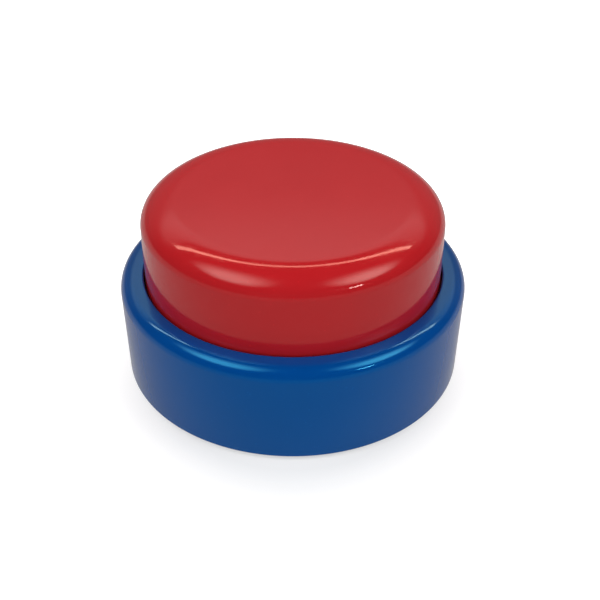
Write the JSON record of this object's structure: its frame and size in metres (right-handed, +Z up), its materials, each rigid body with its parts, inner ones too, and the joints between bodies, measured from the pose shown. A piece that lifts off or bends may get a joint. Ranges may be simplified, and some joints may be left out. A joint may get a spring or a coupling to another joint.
{
  "type": "quiz buzzer",
  "caption": "Round tabletop quiz buzzer: a wide red push button that slides in a blue ring base, over springs, switch, speaker and batteries.",
  "frame": {"origin": "middle of the round footprint, on the surface that the rubber feet stand on", "axes": "+Z up along the axis that the button slides on; -Y towards the battery side and +Y towards the speaker side; +X towards the record button and the battery door's screw"},
  "size_m": [0.09, 0.09, 0.0481],
  "materials": {
    "base_blue": "glossy moulded blue",
    "cap_red": "glossy moulded red",
    "record_red": "glossy moulded red",
    "cover_blue": "fine spark-eroded texture, blue",
    "white_plastic": "plain moulded white",
    "black_plastic": "plain moulded black",
    "rubber": "matt black rubber",
    "foam": "closed-cell foam",
    "circuit_board": "green solder mask",
    "epoxy": "black epoxy blob",
    "capacitor_sleeve": "shrink sleeve",
    "resistor_body": "lacquered beige",
    "speaker_paper": "pressed black paper",
    "magnet": "sintered ferrite, dull",
    "pressed_steel": "zinc-plated sheet",
    "screw_steel": "zinc-plated",
    "spring_steel": "drawn wire",
    "contact_nickel": "nickel-plated strip and wire",
    "cell_jacket": null,
    "wire_red": "PVC insulation",
    "wire_black": "PVC insulation"
  },
  "bodies": {
    "base": {"upper_housing": "base_blue", "bottom_cover": "cover_blue", "chassis_plate": "white_plastic", "main_switch_body": "black_plastic", "record_switch_body": "black_plastic", "foot_front_left": "rubber", "foot_front_right": "rubber", "foot_rear_left": "rubber", "foot_rear_right": "rubber", "speaker_gasket": "foam", "circuit_board": "circuit_board", "sound_chip": "epoxy", "capacitor": "capacitor_sleeve", "resistor_front": "resistor_body", "resistor_rear": "resistor_body", "speaker_magnet": "magnet", "speaker_frame": "pressed_steel", "slide_switch_body": "pressed_steel", "microphone": "pressed_steel", "chassis_screw_rear_right": "screw_steel", "chassis_screw_rear_left": "screw_steel", "chassis_screw_front": "screw_steel", "case_screw_front_left": "screw_steel", "case_screw_front_right": "screw_steel", "case_screw_rear_left": "screw_steel", "case_screw_rear_right": "screw_steel", "board_screw_left": "screw_steel", "board_screw_right": "screw_steel", "speaker_screw_left": "screw_steel", "speaker_screw_right": "screw_steel", "button_spring_rear": "spring_steel", "button_spring_front_left": "spring_steel", "button_spring_front_right": "spring_steel", "contact_bridge": "contact_nickel", "contact_positive": "contact_nickel", "contact_negative": "contact_nickel", "battery_front": "cell_jacket", "battery_rear": "cell_jacket", "battery_wire_red": "wire_red", "speaker_wire_red": "wire_red", "battery_wire_black": "wire_black", "speaker_wire_black": "wire_black"},
    "button": {"button_cap": "cap_red", "button_carrier": "white_plastic", "plunger_pad": "rubber", "carrier_screw_rear_right": "screw_steel", "carrier_screw_rear_left": "screw_steel", "carrier_screw_front": "screw_steel"},
    "main_switch_stem": {"main_switch_stem": "black_plastic"},
    "record_button": {"record_button": "record_red"},
    "record_switch_stem": {"record_switch_stem": "black_plastic"},
    "slide_switch_knob": {"slide_switch_knob": "black_plastic"},
    "battery_door": {"battery_door": "cover_blue", "battery_door_screw": "screw_steel"},
    "speaker_cone": {"speaker_cone": "speaker_paper", "speaker_dust_cap": "speaker_paper"}
  },
  "joints": [
    {"name": "button_press", "type": "slide", "parent": "base", "child": "button", "axis": [0, 0, -1], "range_m": [0, 0.004], "stiffness_N_per_m": 800, "springref_m": -0.003, "deforming": ["button_spring_rear", "button_spring_front_left", "button_spring_front_right"]},
    {"name": "main_switch_press", "type": "slide", "parent": "base", "child": "main_switch_stem", "axis": [0, 0, -1], "range_m": [0, 0.00025]},
    {"name": "record_press", "type": "slide", "parent": "base", "child": "record_button", "axis": [0, 0, 1], "range_m": [0, 0.0006], "stiffness_N_per_m": 1000, "springref_m": -0.0005},
    {"name": "record_switch_press", "type": "slide", "parent": "base", "child": "record_switch_stem", "axis": [0, 0, 1], "range_m": [0, 0.00025]},
    {"name": "mode_slide", "type": "slide", "parent": "base", "child": "slide_switch_knob", "axis": [1, 0, 0], "range_m": [0, 0.002]},
    {"name": "battery_door_swing", "type": "hinge", "parent": "base", "child": "battery_door", "pos_m": [-0.0272, -0.0177, 0.0014], "axis": [0, 1, 0], "range_deg": [0, 75]},
    {"name": "speaker_cone_travel", "type": "slide", "parent": "base", "child": "speaker_cone", "axis": [0, 0, 1], "range_m": [-0.0003, 0.0003], "stiffness_N_per_m": 500}
  ],
  "couplings": [
    {"joint": "main_switch_press", "follows": "button_press", "ratio": 0.0625},
    {"joint": "record_switch_press", "follows": "record_press", "ratio": 0.41666}
  ]
}
